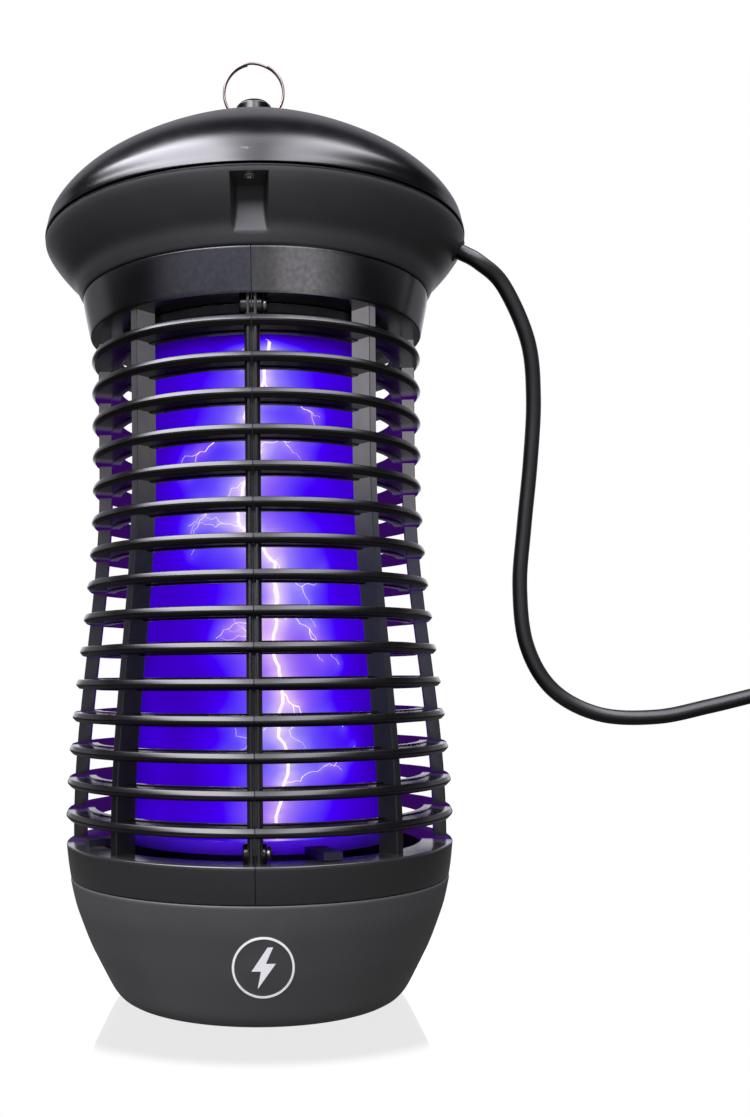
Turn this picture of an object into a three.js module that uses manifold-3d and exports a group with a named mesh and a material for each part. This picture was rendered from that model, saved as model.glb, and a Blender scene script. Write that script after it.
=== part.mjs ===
// Electric bug zapper: a hanging lantern with a mains lead. A two-piece plastic cage stands round
// a pair of high-voltage electrodes and an ultraviolet lamp, and a twist-off tray closes the bottom.
// Millimetres, +Z up, front towards -Y. The origin is on the standing plane, under the tray's centre.

import * as THREE from 'three';
import { mergeVertices } from 'three/addons/utils/BufferGeometryUtils.js';
import Module from 'manifold-3d';

const wasm = await Module();
wasm.setup();

// ---------- driving dimensions ----------

const GAP = 0.3; // air between neighbouring pieces
const SHELL_SIDES = 28; // facets round the big shells
const RING_SIDES = 20; // facets round a cage ring

const TRAY_BOTTOM_Z = 0.8;
const TRAY_RIM_Z = 46.2;
const BAND_BASE_Z = 46.5;
const BAND_TOP_Z = 59.4;
const BAND_INNER_R = 71.3;
const NECK_R = 68.3; // outside of the tray's neck
const NECK_TOP_Z = 56.4;

const LUG_PITCH = 0.12; // drop of the tray, mm per degree of twist
const LEDGE_SPAN = 36; // degrees
const LUG_SPAN = 24; // degrees
const LEDGE_ANGLES = [0, 120, 240];
const LEDGE_TOP_Z = 53.2; // at the middle of a ledge

const RING_COUNT = 15;
const RING_PITCH = 12.25;
const LOWEST_RING_Z = 70;
const RING_DEPTH = 11; // from outer edge to inner edge
const WAIST_R = 63; // outer radius of the upper rings
const FLARE_GROWTH = 11; // how much wider the lowest ring is
const FLARE_TOP_Z = 200;
const FLARE_SPAN = 140;
const RIB_SETBACK = 2; // a rib's outer edge behind the ring's outer edge
const RIB_DEPTH = 8.6;
const SIDE_RIB_DEPTH = 5;
const CORNER_RIB_OFFSET = 43.4; // degrees from a seam to the ribs beside it
const RIB_THICK = 3.4;
const SEAM_RIB_THICK = 5.2; // both halves together

const FLANGE_Z = 250.5; // underside of the collar
const COLLAR_TOP_Z = 265.2;
const HOUSING_BASE_Z = 265.5;
const HOUSING_TOP_Z = 285.6;
const COVER_BASE_Z = 287;
const HEAD_R = 80; // widest radius of the head
const FLOOR_Z = 268; // underside of the housing's floor
const FLOOR_TOP_Z = 270.5;
const COVER_CROWN_Z = 331.5;

const CHANNEL_WIDTH = 12.5; // finger-wide recess for each cover screw
const CHANNEL_BACK_R = 68;
const CHANNEL_CEILING_Z = 284.2;
const CHANNEL_ANGLES = { front: -90, right: 30, left: 150 };
const COVER_SCREW_R = 76.2; // distance of a cover screw from the axis

const CAGE_SCREWS = {
  front_top: { y: -57, z: 247.6 },
  front_bottom: { y: -66.5, z: 62.6 },
  rear_top: { y: 57, z: 247.6 },
  rear_bottom: { y: 66.5, z: 62.6 },
};

const POST_R = 6.8;
const POST_TOP_Z = 342.8;
const EYE_Z = 336; // centre of the hole through the post
const EYE_R = 3.5;
const HANG_RING_R = 11.25; // centreline
const HANG_WIRE_R = 0.75;

const OUTER_ELECTRODE = { topR: 44, bottomR: 48.5, topZ: 246.9, bottomZ: 64.2 };
const INNER_ELECTRODE = { topR: 36.5, bottomR: 41, topZ: 246.9, bottomZ: 64.2 };
const ELECTRODE_WALL = 0.8;

// Where each lead passes through the housing's floor.
const LEADS = {
  lamp_lead_right: [11, 0],
  lamp_lead_left: [-11, 0],
  outer_electrode_lead: [0, 44],
  inner_electrode_lead: [0, -37],
};

const BOARD_Z = 276;
const BOARD_R = 50;
const BOARD_THICK = 1.6;
const BOARD_SCREW_R = 43;
const PARTS_Z = BOARD_Z + BOARD_THICK + GAP; // underside of what stands on the board

const LAMP_LEG_X = 11;
const LAMP_TUBE_R = 6;

const CORD_R = 2.85;
const CORD_EXIT_ANGLE = -8; // degrees from +X
const CORD_EXIT_R = 77.8;
const CORD_EXIT_Z = 281.2;
const CORD_DROOP = 32; // degrees below level where the cord leaves
const RELIEF_R = 4.1; // outside of the strain relief round the cord
const PLUG_X = 196; // back of the plug
const PLUG_FACE_X = 222;
const PLUG_Z = 114;
const BLADE_SPACING = 12.7;

const FOOT_CENTRE_R = 41;
const FOOT_R = 4.8;
const CENTRE_PAD_R = 8; // moulded pad under the tray's floor, level with the feet

// ---------- materials ----------

const paint = (color, roughness, metalness = 0) =>
  new THREE.MeshStandardMaterial({ color, roughness, metalness });

const satinBlack = paint(0x1d1c20, 0.38);
const greyPlastic = paint(0x303032, 0.6);
const rubber = paint(0x161616, 0.7);
const steel = paint(0xb9b9bb, 0.25, 1);
const nickel = paint(0xd0cfcc, 0.18, 1);
const violetMesh = paint(0x5a28f0, 0.5, 0.3);
const lampGlass = paint(0xe9ddff, 0.2);
const insulator = paint(0x2a2a30, 0.5);
const ceramic = paint(0xe8e4da, 0.4);
const boardGreen = paint(0x1f6b3a, 0.5);
const ferrite = paint(0x3a3a3c, 0.7);
const copper = paint(0xb5713a, 0.35, 0.9);
const filmRed = paint(0x9a2f24, 0.45);
const sleeveBlue = paint(0x27437c, 0.4);
const wirePvc = paint(0xc9c4bb, 0.5);

// ---------- shape helpers ----------

const radians = THREE.MathUtils.degToRad;

// A closed triangle mesh as a solid that can be joined and cut.
function solid(geometry) {
  const bare = geometry.clone();
  bare.deleteAttribute('normal');
  bare.deleteAttribute('uv');
  const merged = mergeVertices(bare);
  const index = merged.index.array;
  const corners = [];
  for (let i = 0; i < index.length; i += 3) {
    const [a, b, c] = index.subarray(i, i + 3);
    if (a !== b && b !== c && c !== a) corners.push(a, b, c);
  }
  return new wasm.Manifold(new wasm.Mesh({
    numProp: 3,
    vertProperties: Float32Array.from(merged.attributes.position.array),
    triVerts: Uint32Array.from(corners),
  }));
}

function joined(...solids) {
  return solids.reduce((whole, next) => whole.add(next));
}

function without(whole, ...cutters) {
  return cutters.reduce((left, cutter) => left.subtract(cutter), whole);
}

// An outline of [radius, height] points turned round Z. The points run anticlockwise, outside going up.
function turned(outline, sides = SHELL_SIDES) {
  const points = outline.map(([r, z]) => new THREE.Vector2(r, z));
  const onAxis = outline[0][0] === 0;
  if (!onAxis) points.push(points[0].clone());
  return solid(new THREE.LatheGeometry(points, sides).rotateX(Math.PI / 2));
}

function block(x0, x1, y0, y1, z0, z1) {
  const box = new THREE.BoxGeometry(x1 - x0, y1 - y0, z1 - z0);
  return solid(box.translate((x0 + x1) / 2, (y0 + y1) / 2, (z0 + z1) / 2));
}

// A round bar between two points; the far end may have another radius.
function rod(radius, from, to, sides = 12, endRadius = radius) {
  const start = new THREE.Vector3(...from);
  const end = new THREE.Vector3(...to);
  const along = end.clone().sub(start);
  const bar = new THREE.CylinderGeometry(endRadius, radius, along.length(), sides);
  const turn = new THREE.Quaternion().setFromUnitVectors(new THREE.Vector3(0, 1, 0), along.normalize());
  const middle = start.add(end).multiplyScalar(0.5);
  return solid(bar.applyQuaternion(turn).translate(middle.x, middle.y, middle.z));
}

// A flat outline of [x, y] points, extruded along +Z.
function plateGeometry(outline, thickness) {
  const shape = new THREE.Shape(outline.map(([x, y]) => new THREE.Vector2(x, y)));
  return new THREE.ExtrudeGeometry(shape, { depth: thickness, bevelEnabled: false });
}

// An outline of [radius, height] points as an upright plate standing on a radius at the given angle.
function fin(outline, thickness, angle) {
  const upright = plateGeometry(outline, thickness).translate(0, 0, -thickness / 2).rotateX(Math.PI / 2);
  return solid(upright.rotateZ(radians(angle)));
}

// A round section swept along a smooth curve through the points.
function sweep(points, radius, steps, sides = 8) {
  const section = Array.from({ length: sides }, (_, i) => {
    const turn = (2 * Math.PI * i) / sides;
    return new THREE.Vector2(radius * Math.cos(turn), radius * Math.sin(turn));
  });
  const path = new THREE.CatmullRomCurve3(points.map((p) => new THREE.Vector3(...p)));
  const options = { steps, extrudePath: path, bevelEnabled: false };
  return solid(new THREE.ExtrudeGeometry(new THREE.Shape(section), options));
}

// Part of a ring, with its top and underside sloping evenly with the angle like a screw thread.
function threadBlock(innerR, outerR, middleAngle, span, baseZ, height) {
  const steps = 6;
  const arc = (radius, backwards) => Array.from({ length: steps + 1 }, (_, i) => {
    const share = (backwards ? steps - i : i) / steps - 0.5;
    const angle = radians(share * span);
    return [radius * Math.cos(angle), radius * Math.sin(angle)];
  });
  const geometry = plateGeometry([...arc(outerR, false), ...arc(innerR, true)], height);
  const position = geometry.attributes.position;
  for (let i = 0; i < position.count; i += 1) {
    const angle = THREE.MathUtils.radToDeg(Math.atan2(position.getY(i), position.getX(i)));
    position.setZ(i, position.getZ(i) + baseZ + LUG_PITCH * angle);
  }
  return solid(geometry.rotateZ(radians(middleAngle)));
}

function polar(radius, angle, z) {
  return [radius * Math.cos(radians(angle)), radius * Math.sin(radians(angle)), z];
}

// ---------- cage ----------

// Outer radius of the cage at a height: straight above, swelling towards the tray below.
function cageRadius(z) {
  if (z >= FLARE_TOP_Z) return WAIST_R;
  const swell = Math.sin((Math.PI / 2) * Math.min(1, (FLARE_TOP_Z - z) / FLARE_SPAN));
  return WAIST_R + FLARE_GROWTH * swell * swell;
}

function cageRing(z) {
  const outer = cageRadius(z);
  const inner = outer - RING_DEPTH;
  return turned([[inner, z - 2.5], [outer, z - 1.3], [outer, z + 1.3], [inner, z + 2.5]], RING_SIDES);
}

function cageRib(angle, thickness, depth = RIB_DEPTH) {
  const heights = [58, 85, 110, 140, 170, 205, 251.5];
  const outerEdge = heights.map((z) => [cageRadius(z) - RIB_SETBACK, z]);
  const innerEdge = heights.map((z) => [cageRadius(z) - RIB_SETBACK - depth, z]).reverse();
  return fin([...outerEdge, ...innerEdge], thickness, angle);
}

// The ring-shaped collar under the head, with a lip that grips the housing's neck.
function collar() {
  return turned([
    [50, FLANGE_Z], [63.2, FLANGE_Z], [64.7, 256.8], [65.5, 261], [66, COLLAR_TOP_Z],
    [63.4, COLLAR_TOP_Z], [62.8, 261.4], [60.7, 261.4], [60.7, 259.2], [62.6, 259.2], [62.6, 255.6], [61, 253], [50, 253],
  ]);
}

function bottomBand() {
  return turned([
    [BAND_INNER_R, BAND_BASE_Z], [72.3, BAND_BASE_Z], [73.1, 52], [73.8, 58.8], [73.3, BAND_TOP_Z],
    [62, BAND_TOP_Z], [62, 57.4], [BAND_INNER_R, 57.4],
  ]);
}

function cageWhole() {
  const pieces = [collar(), bottomBand()];
  for (let i = 0; i < RING_COUNT; i += 1) pieces.push(cageRing(LOWEST_RING_Z + i * RING_PITCH));
  for (const angle of [0, 180]) pieces.push(cageRib(angle, RIB_THICK, SIDE_RIB_DEPTH));
  for (const seam of [90, 270]) {
    pieces.push(cageRib(seam, SEAM_RIB_THICK));
    pieces.push(cageRib(seam - CORNER_RIB_OFFSET, RIB_THICK), cageRib(seam + CORNER_RIB_OFFSET, RIB_THICK));
  }
  for (const angle of LEDGE_ANGLES) {
    pieces.push(threadBlock(NECK_R + 0.7, BAND_INNER_R + 0.6, angle, LEDGE_SPAN, LEDGE_TOP_Z - 1.8, 1.8));
  }
  const bosses = Object.values(CAGE_SCREWS);
  for (const { y, z } of bosses) pieces.push(rod(3.4, [-4.2, y, z], [3.8, y, z]));
  const holes = bosses.map(({ y, z }) => rod(1.8, [-3.6, y, z], [5, y, z], 8));
  return without(joined(...pieces), ...holes);
}

// ---------- head ----------

const HOUSING_OUTSIDE = [
  [66.1, HOUSING_BASE_Z], [67.5, 267.9], [69.4, 271.5], [72.7, 275], [75.7, 278.4], [78.3, 281.9],
  [79.6, 284.2], [HEAD_R, HOUSING_TOP_Z],
];

// A box that starts on the axis side and reaches outwards, turned to the given angle.
function radialBlock(innerR, outerR, width, z0, z1, angle) {
  return block(innerR, outerR, -width / 2, width / 2, z0, z1).rotate([0, 0, angle]);
}

function headHousing() {
  const inside = [
    [77.5, HOUSING_TOP_Z], [77.3, 284], [75.6, 281.4], [73, 278.2], [70, 275], [67.2, 271.8],
    [66, FLOOR_TOP_Z], [0, FLOOR_TOP_Z],
  ];
  const neck = [
    [0, FLOOR_Z], [58, FLOOR_Z], [58, 256.4], [62.2, 256.4], [62.2, 258.8], [60.3, 258.8], [60.3, HOUSING_BASE_Z],
  ];
  const shell = turned([...neck, ...HOUSING_OUTSIDE, ...inside]);
  const filled = turned([[0, HOUSING_BASE_Z], ...HOUSING_OUTSIDE, [0, HOUSING_TOP_Z]]);
  let housing = shell;
  for (const angle of Object.values(CHANNEL_ANGLES)) {
    const wallBox = radialBlock(CHANNEL_BACK_R - 2.4, 78, CHANNEL_WIDTH + 5, 267.5, HOUSING_TOP_Z, angle);
    housing = housing.add(wallBox.intersect(filled));
    const recess = radialBlock(CHANNEL_BACK_R, 90, CHANNEL_WIDTH, 260, CHANNEL_CEILING_Z, angle);
    const screwHole = rod(1.8, polar(COVER_SCREW_R, angle, 280), polar(COVER_SCREW_R, angle, 290), 8);
    housing = without(housing, recess, screwHole);
    const ramp = fin([[67, 266.5], [71.2, 266.5], [70, 279], [67, 279]], 8, angle);
    housing = housing.add(ramp.intersect(filled));
  }
  for (let i = 0; i < 4; i += 1) {
    const corner = 45 + 90 * i;
    const standoff = rod(4, polar(BOARD_SCREW_R, corner, 269), polar(BOARD_SCREW_R, corner, BOARD_Z - GAP), 8);
    const pilot = rod(1.6, polar(BOARD_SCREW_R, corner, 270.8), polar(BOARD_SCREW_R, corner, 280), 6);
    housing = without(housing.add(standoff), pilot);
  }
  for (const [x, y] of Object.values(LEADS)) {
    housing = without(housing, rod(2, [x, y, 260], [x, y, 272], 8));
  }
  return without(housing, cordBar(RELIEF_R + GAP, -14, 14));
}

function topCover() {
  const outside = [
    [HEAD_R, COVER_BASE_Z], [80.1, 289.4], [78.5, 294.5], [73.6, 301], [66, 307.9], [56, 314.6], [44.6, 320.9],
    [32.6, 326.5], [21, 330.3], [10, COVER_CROWN_Z], [4.4, COVER_CROWN_Z],
  ];
  const inside = [
    [4.4, 328.8], [10, 328.8], [31.4, 324], [43.2, 318.6], [54.4, 312.4], [64.2, 305.8], [71.4, 299.2],
    [75.6, 293.4], [75.1, 288.6], [75.1, 285.9], [77.1, 285.9], [77.1, COVER_BASE_Z],
  ];
  let cover = turned([...outside, ...inside]);
  for (const angle of Object.values(CHANNEL_ANGLES)) {
    const boss = rod(2.9, polar(COVER_SCREW_R, angle, COVER_BASE_Z), polar(COVER_SCREW_R, angle, 292), 10);
    const pilot = rod(1.8, polar(COVER_SCREW_R, angle, 280), polar(COVER_SCREW_R, angle, 291.6), 8);
    cover = without(cover.add(boss), pilot);
  }
  return without(cover, cordBar(RELIEF_R + GAP, -14, 4));
}

function coverSeal() {
  const ring = turned([[78.4, 285.9], [79.4, 285.9], [79.4, 286.7], [78.4, 286.7]]);
  return without(ring, cordBar(RELIEF_R + GAP, -14, 4));
}

// A pan-head screw from the centre of its head's top to its tip.
function screw(headRadius, shankRadius, headTop, tip, headHeight = 1.6) {
  const top = new THREE.Vector3(...headTop);
  const towards = new THREE.Vector3(...tip).sub(top).normalize();
  const seat = top.clone().addScaledVector(towards, headHeight).toArray();
  const inHead = top.clone().addScaledVector(towards, headHeight / 2).toArray();
  const head = rod(headRadius * 0.75, headTop, seat, 10, headRadius);
  return joined(head, rod(shankRadius, inHead, tip, 6));
}

// ---------- hanging ----------

function hangerPost() {
  const body = turned([
    [0, 317], [4, 317], [4, 331.8], [8.5, 331.8], [8.5, 333.2], [POST_R, 333.9], [POST_R, 340.4],
    [4.6, POST_TOP_Z], [0, POST_TOP_Z],
  ], 20);
  return without(body, rod(EYE_R, [-10, 0, EYE_Z], [10, 0, EYE_Z]));
}

function hangRing() {
  const wire = new THREE.TorusGeometry(HANG_RING_R, HANG_WIRE_R, 6, 28);
  return solid(wire.rotateX(Math.PI / 2).translate(0, 0, EYE_Z + HANG_RING_R));
}

function hexNut(radius, z0, z1) {
  return without(rod(radius, [0, 0, z0], [0, 0, z1], 6), rod(4.4, [0, 0, z0 - 1], [0, 0, z1 + 1]));
}

function washer(radius, z0, z1) {
  return turned([[4.4, z0], [radius, z0], [radius, z1], [4.4, z1]], 16);
}

// ---------- mains lead ----------

// A bar on the line along which the cord leaves the housing; distances are from the outer surface.
function cordBar(radius, from, to) {
  return rod(radius, cordPoint(from), cordPoint(to));
}

function cordPoint(distance) {
  const droop = radians(CORD_DROOP);
  const outwards = CORD_EXIT_R + distance * Math.cos(droop);
  return polar(outwards, CORD_EXIT_ANGLE, CORD_EXIT_Z - distance * Math.sin(droop));
}

// The cord hangs in a long curve and turns out again to the plug.
const CORD_PATH = [
  [45.6, -6, 285.2], [54, -7.5, 288.6], cordPoint(-10), cordPoint(0), cordPoint(9), [94.2, -9, 268.3],
  [104, -6, 246.5], [106.4, -3, 226], [104.5, -1, 190.7], [101.2, 0, 156], [101.9, 0, 140.2],
  [110.8, 0, 118.1], [130.2, 0, 106], [154.2, 0, 104.8], [172.8, 0, 108.6], [PLUG_X, 0, PLUG_Z - 0.2],
  [PLUG_X + 9, 0, PLUG_Z],
];

function strainRelief() {
  const sleeve = joined(cordBar(RELIEF_R, -4, 1), cordBar(RELIEF_R + 0.9, 0.9, 2));
  return without(sleeve, cordBar(CORD_R + GAP, -6, 4));
}

function plugBody() {
  const body = joined(
    rod(5.2, [PLUG_X, 0, PLUG_Z], [PLUG_X + 12, 0, PLUG_Z], 12, 9.5),
    block(PLUG_X + 11, PLUG_FACE_X, -8.5, 8.5, PLUG_Z - 12, PLUG_Z + 12),
  );
  const cordHole = rod(CORD_R + GAP, [PLUG_X - 1, 0, PLUG_Z], [PLUG_X + 10, 0, PLUG_Z]);
  const slots = [-1, 1].map((side) => plugBladeBlock(side, GAP));
  return without(body, cordHole, ...slots);
}

function plugBladeBlock(side, margin = 0) {
  const z = PLUG_Z + (side * BLADE_SPACING) / 2;
  const tip = margin ? PLUG_FACE_X + 1 : PLUG_FACE_X + 17;
  return block(
    PLUG_FACE_X - 7 - margin, tip, -3.15 - margin, 3.15 + margin, z - 0.75 - margin, z + 0.75 + margin,
  );
}

// ---------- electrodes and lamp ----------

function electrode({ topR, bottomR, topZ, bottomZ }) {
  const wall = ELECTRODE_WALL;
  return turned([[bottomR - wall, bottomZ], [bottomR, bottomZ], [topR, topZ], [topR - wall, topZ]]);
}

function upperInsulator() {
  return turned([
    [33, 247.2], [39, 247.2], [39, 243], [41.5, 243], [41.5, 247.2], [51.2, 247.2], [51.2, 250.2], [33, 250.2],
  ]);
}

// A ring with four arms that rest on the cage's bottom band; insects fall between the arms.
function lowerInsulator() {
  const ring = turned([[37, 59.7], [51, 59.7], [51, 63.9], [37, 63.9]]);
  const arms = [22.5, 112.5, 202.5, 292.5].map((angle) => radialBlock(45, 68, 7, 59.7, 62.4, angle));
  const pocket = turned([[42.4, 62.4], [44.6, 62.4], [44.6, 65], [42.4, 65]]);
  return without(joined(ring, ...arms), pocket);
}

function uvLamp() {
  const path = [[-1, 241.2], [-1, 170], [-1, 100], [-0.72, 91.5], [0, 88], [0.72, 91.5], [1, 100], [1, 170], [1, 241.2]];
  return sweep(path.map(([side, z]) => [side * LAMP_LEG_X, 0, z]), LAMP_TUBE_R, 24);
}

// ---------- electronics ----------

function circuitBoard() {
  const board = rod(BOARD_R, [0, 0, BOARD_Z], [0, 0, BOARD_Z + BOARD_THICK], 32);
  const holes = boardCorners().map((angle) => (
    rod(1.9, polar(BOARD_SCREW_R, angle, 270), polar(BOARD_SCREW_R, angle, 280), 8)
  ));
  return without(board, ...holes);
}

function boardCorners() {
  return [45, 135, 225, 315];
}

function ballastCore() {
  const body = block(-30, -4, 6, 18, PARTS_Z, PARTS_Z + 24);
  const windows = [[-26, -20], [-14, -8]].map(([x0, x1]) => block(x0, x1, 5, 19, PARTS_Z + 5, PARTS_Z + 19));
  return without(body, ...windows);
}

function ballastCoil() {
  const winding = block(-23.7, -10.3, 2.5, 21.5, PARTS_Z + 5.3, PARTS_Z + 18.7);
  return without(winding, block(-20.3, -13.7, 5.7, 18.3, PARTS_Z, PARTS_Z + 30));
}

function fuse() {
  return rod(2.6, [2, -29, PARTS_Z + 3], [22, -29, PARTS_Z + 3], 10);
}

// ---------- tray ----------

function tray() {
  const cup = turned([
    [0, 0], [CENTRE_PAD_R, 0], [CENTRE_PAD_R + 0.5, TRAY_BOTTOM_Z], [52.6, TRAY_BOTTOM_Z], [54.6, 2.2],
    [57.1, 5.5], [61.1, 13.3], [64.9, 21.2], [67.9, 29], [70.5, 36.7], [72.2, 44.4], [72.3, TRAY_RIM_Z],
    [NECK_R, TRAY_RIM_Z], [NECK_R, NECK_TOP_Z], [66, NECK_TOP_Z], [66, 46], [69.6, 43.2], [68, 36.7], [65.4, 29],
    [62.4, 21.2], [58.6, 13.3], [54.6, 5.8], [52, 3.4], [0, 3.4],
  ]);
  const lugs = LEDGE_ANGLES.map((angle) => (
    threadBlock(NECK_R - 0.6, NECK_R + 2.3, angle, LUG_SPAN, LEDGE_TOP_Z + GAP, 1.5)
  ));
  const pockets = footAngles().map((angle) => (
    rod(FOOT_R + GAP, polar(FOOT_CENTRE_R, angle, -1), polar(FOOT_CENTRE_R, angle, 2))
  ));
  return without(joined(cup, ...lugs), ...pockets);
}

function traySeal() {
  return turned([[69.1, 46.9], [70.7, 46.9], [70.7, 48.7], [69.1, 48.7]]);
}

function footAngles() {
  return [45, 135, 225, 315];
}

function foot(angle) {
  return rod(FOOT_R - 0.6, polar(FOOT_CENTRE_R, angle, 0), polar(FOOT_CENTRE_R, angle, 1.7), 12, FOOT_R);
}

// ---------- assembly ----------

const zapper = new THREE.Group();

function addPiece(name, body, material) {
  const { vertProperties, triVerts } = body.getMesh();
  const geometry = new THREE.BufferGeometry();
  geometry.setAttribute('position', new THREE.BufferAttribute(vertProperties, 3));
  geometry.setIndex(new THREE.BufferAttribute(triVerts, 1));
  geometry.computeVertexNormals();
  const mesh = new THREE.Mesh(geometry, material);
  mesh.name = name;
  zapper.add(mesh);
}

addPiece('hang_ring', hangRing(), nickel);
addPiece('hanger_post', hangerPost(), satinBlack);
addPiece('hanger_washer', washer(9, 327, 328.5), steel);
addPiece('hanger_nut', hexNut(7.5, 320.5, 326.7), steel);
addPiece('top_cover', topCover(), satinBlack);
addPiece('cover_seal', coverSeal(), rubber);
addPiece('head_housing', headHousing(), satinBlack);
for (const [place, angle] of Object.entries(CHANNEL_ANGLES)) {
  const headTop = polar(COVER_SCREW_R, angle, CHANNEL_CEILING_Z - GAP - 1.6);
  const tip = polar(COVER_SCREW_R, angle, 291.2);
  addPiece(`cover_screw_${place}`, screw(2.5, 1.5, headTop, tip), nickel);
}

const cage = cageWhole();
const far = 100;
const rightSide = block(GAP / 2, far, -far, far, 0, 3 * far);
const leftSide = block(-far, -GAP / 2, -far, far, 0, 3 * far);
addPiece('cage_right', cage.intersect(rightSide), satinBlack);
addPiece('cage_left', cage.intersect(leftSide), satinBlack);
for (const [place, { y, z }] of Object.entries(CAGE_SCREWS)) {
  addPiece(`cage_screw_${place}`, screw(2.6, 1.5, [5.7, y, z], [-3.3, y, z]), nickel);
}

addPiece('strain_relief', strainRelief(), rubber);
addPiece('power_cord', sweep(CORD_PATH, CORD_R, 46), rubber);
addPiece('plug_body', plugBody(), rubber);
addPiece('plug_blade_upper', plugBladeBlock(1), nickel);
addPiece('plug_blade_lower', plugBladeBlock(-1), nickel);

addPiece('circuit_board', circuitBoard(), boardGreen);
boardCorners().forEach((angle, i) => {
  const headTop = polar(BOARD_SCREW_R, angle, PARTS_Z + 1.6);
  addPiece(`board_screw_${i + 1}`, screw(2.5, 1.3, headTop, polar(BOARD_SCREW_R, angle, 271.2)), steel);
});
addPiece('terminal_block', block(27, 43.5, -12, 2, PARTS_Z, PARTS_Z + 10), ceramic);
addPiece('ballast_core', ballastCore(), ferrite);
addPiece('ballast_coil', ballastCoil(), copper);
addPiece('filter_capacitor', rod(7, [-32, -12, PARTS_Z], [-32, -12, PARTS_Z + 22], 16), sleeveBlue);
for (let i = 0; i < 4; i += 1) {
  const x = -16 + 9 * i;
  addPiece(`voltage_capacitor_${i + 1}`, block(x, x + 6, -20, -6, PARTS_Z, PARTS_Z + 13), filmRed);
}
addPiece('mains_fuse', fuse(), ceramic);
for (const [name, [x, y]] of Object.entries(LEADS)) {
  const lowEnd = name.startsWith('lamp') ? 268 : 250.6;
  addPiece(name, rod(0.9, [x, y, lowEnd], [x, y, BOARD_Z - GAP], 6), wirePvc);
}

addPiece('lamp_socket', block(-20, 20, -11, 11, 255.6, 267.7), ceramic);
addPiece('lamp_base', block(-18.5, 18.5, -8.5, 8.5, 241.5, 255.3), ceramic);
addPiece('uv_lamp', uvLamp(), lampGlass);
addPiece('upper_insulator', upperInsulator(), insulator);
addPiece('lower_insulator', lowerInsulator(), insulator);
addPiece('outer_electrode', electrode(OUTER_ELECTRODE), violetMesh);
addPiece('inner_electrode', electrode(INNER_ELECTRODE), violetMesh);

addPiece('tray', tray(), greyPlastic);
addPiece('tray_seal', traySeal(), rubber);
footAngles().forEach((angle, i) => addPiece(`foot_${i + 1}`, foot(angle), rubber));

export default zapper;
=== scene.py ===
"""The looks of the electric bug zapper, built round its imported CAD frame.

The shape helpers work in millimetres, in the frame's own axes, with the front towards -Y.
A piece that stands for a CAD node keeps that node's place and size.
"""

import math
import random

import bmesh
import bpy
import numpy as np
from mathutils import Matrix, Vector


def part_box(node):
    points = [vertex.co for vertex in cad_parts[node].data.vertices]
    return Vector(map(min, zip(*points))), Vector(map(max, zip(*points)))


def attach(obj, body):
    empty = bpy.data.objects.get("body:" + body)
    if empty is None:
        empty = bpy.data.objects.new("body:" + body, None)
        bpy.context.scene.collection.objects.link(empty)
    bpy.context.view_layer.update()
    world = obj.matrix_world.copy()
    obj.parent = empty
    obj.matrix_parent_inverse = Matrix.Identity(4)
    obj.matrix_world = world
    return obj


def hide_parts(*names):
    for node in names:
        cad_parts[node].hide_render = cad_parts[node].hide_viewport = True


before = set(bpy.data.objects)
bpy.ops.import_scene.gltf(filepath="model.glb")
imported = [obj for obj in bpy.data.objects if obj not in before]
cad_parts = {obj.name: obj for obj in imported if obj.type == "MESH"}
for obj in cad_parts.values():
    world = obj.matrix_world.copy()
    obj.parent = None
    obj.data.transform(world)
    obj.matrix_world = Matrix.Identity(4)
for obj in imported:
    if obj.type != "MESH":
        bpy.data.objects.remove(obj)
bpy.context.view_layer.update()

# ---- sizes, in millimetres ----

MM = 0.001
SEGMENTS = 160  # steps round the big shells


def low(node):
    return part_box(node)[0] / MM


def high(node):
    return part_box(node)[1] / MM


RING_COUNT = 15
RING_PITCH = 12.25
LOWEST_RING_Z = 70
RING_DEPTH = 11
WAIST_R = 63
FLARE_GROWTH = 11
FLARE_TOP_Z = 200
FLARE_SPAN = 140
RIB_BASE_Z = 57.6
RIB_TOP_Z = 251.6
RIB_SETBACK = 2
RIB_DEPTH = 8.6
SIDE_RIB_DEPTH = 5
CORNER_RIB_OFFSET = 43.4  # degrees from a seam to the ribs beside it
RIB_THICK = 3.4
SEAM_GAP = 0.3

COLLAR_TOP_Z = high("cage_right").z
BAND_BASE_Z = low("cage_right").z
HOUSING_BASE_Z = COLLAR_TOP_Z + 0.3
HOUSING_TOP_Z = high("head_housing").z
COVER_Z = low("top_cover").z + 1.1  # the cover's visible lower edge
CROWN_Z = high("top_cover").z
CHANNEL_CEILING_Z = HOUSING_TOP_Z - 1.4
CHANNEL_ANGLES = {"front": -90, "right": 30, "left": 150}
COVER_SCREW_R = 76.2
PILOT_R = 1.8  # the holes that the screws go into
QUARTERS = (45, 135, 225, 315)

CAGE_SCREWS = {
    "front_top": (-57, 247.6),
    "front_bottom": (-66.5, 62.6),
    "rear_top": (57, 247.6),
    "rear_bottom": (66.5, 62.6),
}

LEDGE_ANGLES = (0, 120, 240)
LEDGE_TOP_Z = 53.2
LUG_PITCH = 0.12  # rise per degree of twist
NECK_R = 68.3

POST_R = 6.8
EYE_Z = 336
EYE_R = 3.5

CORD_R = 2.85
CORD_EXIT = {"angle": -8, "radius": 77.8, "z": 281.2, "droop": 32}
RELIEF_R = 4.1
PLUG_X = 196
PLUG_FACE_X = 222
PLUG_Z = 114
BLADE_HEIGHTS = {"upper": PLUG_Z + 6.35, "lower": PLUG_Z - 6.35}

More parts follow.
